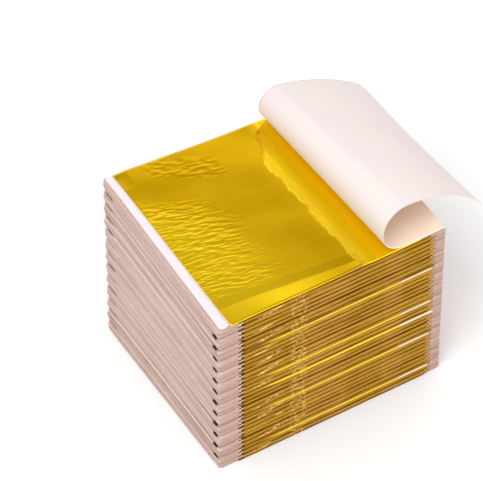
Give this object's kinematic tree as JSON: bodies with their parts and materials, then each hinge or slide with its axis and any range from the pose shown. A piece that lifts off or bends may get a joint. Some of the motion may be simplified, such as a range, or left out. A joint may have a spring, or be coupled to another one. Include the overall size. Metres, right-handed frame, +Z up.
{
  "type": "gold leaf booklet",
  "caption": "Stack of gold leaf booklets: folded tissues with metal leaf between, the top page turned back in a soft roll over the bare leaf.",
  "frame": {"origin": "centre of the stack's base, on the surface that it lies on", "axes": "+Z up; +X along the gold-striped front, from the open paper edges to the folds, where the page is attached; +Y from the front to the back"},
  "size_m": [0.1148, 0.0869, 0.0936],
  "materials": {
    "tissue_paper": "matte",
    "page_paper": "matte",
    "gold_leaf": "satin",
    "gold_leaf_top": "gloss"
  },
  "bodies": {
    "bottom_booklet": {"booklet_01_tissue_folds": "tissue_paper", "booklet_01_metal_leaves": "gold_leaf"},
    "booklet_02": {"booklet_02_tissue_folds": "tissue_paper", "booklet_02_metal_leaves": "gold_leaf"},
    "booklet_03": {"booklet_03_tissue_folds": "tissue_paper", "booklet_03_metal_leaves": "gold_leaf"},
    "booklet_04": {"booklet_04_tissue_folds": "tissue_paper", "booklet_04_metal_leaves": "gold_leaf"},
    "booklet_05": {"booklet_05_tissue_folds": "tissue_paper", "booklet_05_metal_leaves": "gold_leaf"},
    "booklet_06": {"booklet_06_tissue_folds": "tissue_paper", "booklet_06_metal_leaves": "gold_leaf"},
    "booklet_07": {"booklet_07_tissue_folds": "tissue_paper", "booklet_07_metal_leaves": "gold_leaf"},
    "booklet_08": {"booklet_08_tissue_folds": "tissue_paper", "booklet_08_metal_leaves": "gold_leaf"},
    "booklet_09": {"booklet_09_tissue_folds": "tissue_paper", "booklet_09_metal_leaves": "gold_leaf"},
    "booklet_10": {"booklet_10_tissue_folds": "tissue_paper", "booklet_10_metal_leaves": "gold_leaf"},
    "booklet_11": {"booklet_11_tissue_folds": "tissue_paper", "booklet_11_metal_leaves": "gold_leaf"},
    "booklet_12": {"booklet_12_tissue_folds": "tissue_paper", "booklet_12_metal_leaves": "gold_leaf"},
    "open_booklet": {"booklet_13_tissue_folds": "tissue_paper", "booklet_13_metal_leaves": "gold_leaf", "open_fold_lower_flap": "tissue_paper"},
    "exposed_leaf": {"exposed_metal_leaf": "gold_leaf_top"},
    "page": {"turned_back_page": "page_paper"}
  },
  "joints": [
    {"name": "lift_02", "type": "slide", "parent": "bottom_booklet", "child": "booklet_02", "axis": [0, 0, 1], "range_m": [0, 0.02]},
    {"name": "lift_03", "type": "slide", "parent": "booklet_02", "child": "booklet_03", "axis": [0, 0, 1], "range_m": [0, 0.02]},
    {"name": "lift_04", "type": "slide", "parent": "booklet_03", "child": "booklet_04", "axis": [0, 0, 1], "range_m": [0, 0.02]},
    {"name": "lift_05", "type": "slide", "parent": "booklet_04", "child": "booklet_05", "axis": [0, 0, 1], "range_m": [0, 0.02]},
    {"name": "lift_06", "type": "slide", "parent": "booklet_05", "child": "booklet_06", "axis": [0, 0, 1], "range_m": [0, 0.02]},
    {"name": "lift_07", "type": "slide", "parent": "booklet_06", "child": "booklet_07", "axis": [0, 0, 1], "range_m": [0, 0.02]},
    {"name": "lift_08", "type": "slide", "parent": "booklet_07", "child": "booklet_08", "axis": [0, 0, 1], "range_m": [0, 0.02]},
    {"name": "lift_09", "type": "slide", "parent": "booklet_08", "child": "booklet_09", "axis": [0, 0, 1], "range_m": [0, 0.02]},
    {"name": "lift_10", "type": "slide", "parent": "booklet_09", "child": "booklet_10", "axis": [0, 0, 1], "range_m": [0, 0.02]},
    {"name": "lift_11", "type": "slide", "parent": "booklet_10", "child": "booklet_11", "axis": [0, 0, 1], "range_m": [0, 0.02]},
    {"name": "lift_12", "type": "slide", "parent": "booklet_11", "child": "booklet_12", "axis": [0, 0, 1], "range_m": [0, 0.02]},
    {"name": "lift_13", "type": "slide", "parent": "booklet_12", "child": "open_booklet", "axis": [0, 0, 1], "range_m": [0, 0.02]},
    {"name": "page_turn", "type": "hinge", "parent": "open_booklet", "child": "page", "pos_m": [0.04701, 0, 0.07501], "axis": [0, 1, 0], "range_deg": [0, 55]},
    {"name": "leaf_slide_off", "type": "slide", "parent": "open_booklet", "child": "exposed_leaf", "axis": [0, -1, 0], "range_m": [0, 0.082]}
  ]
}
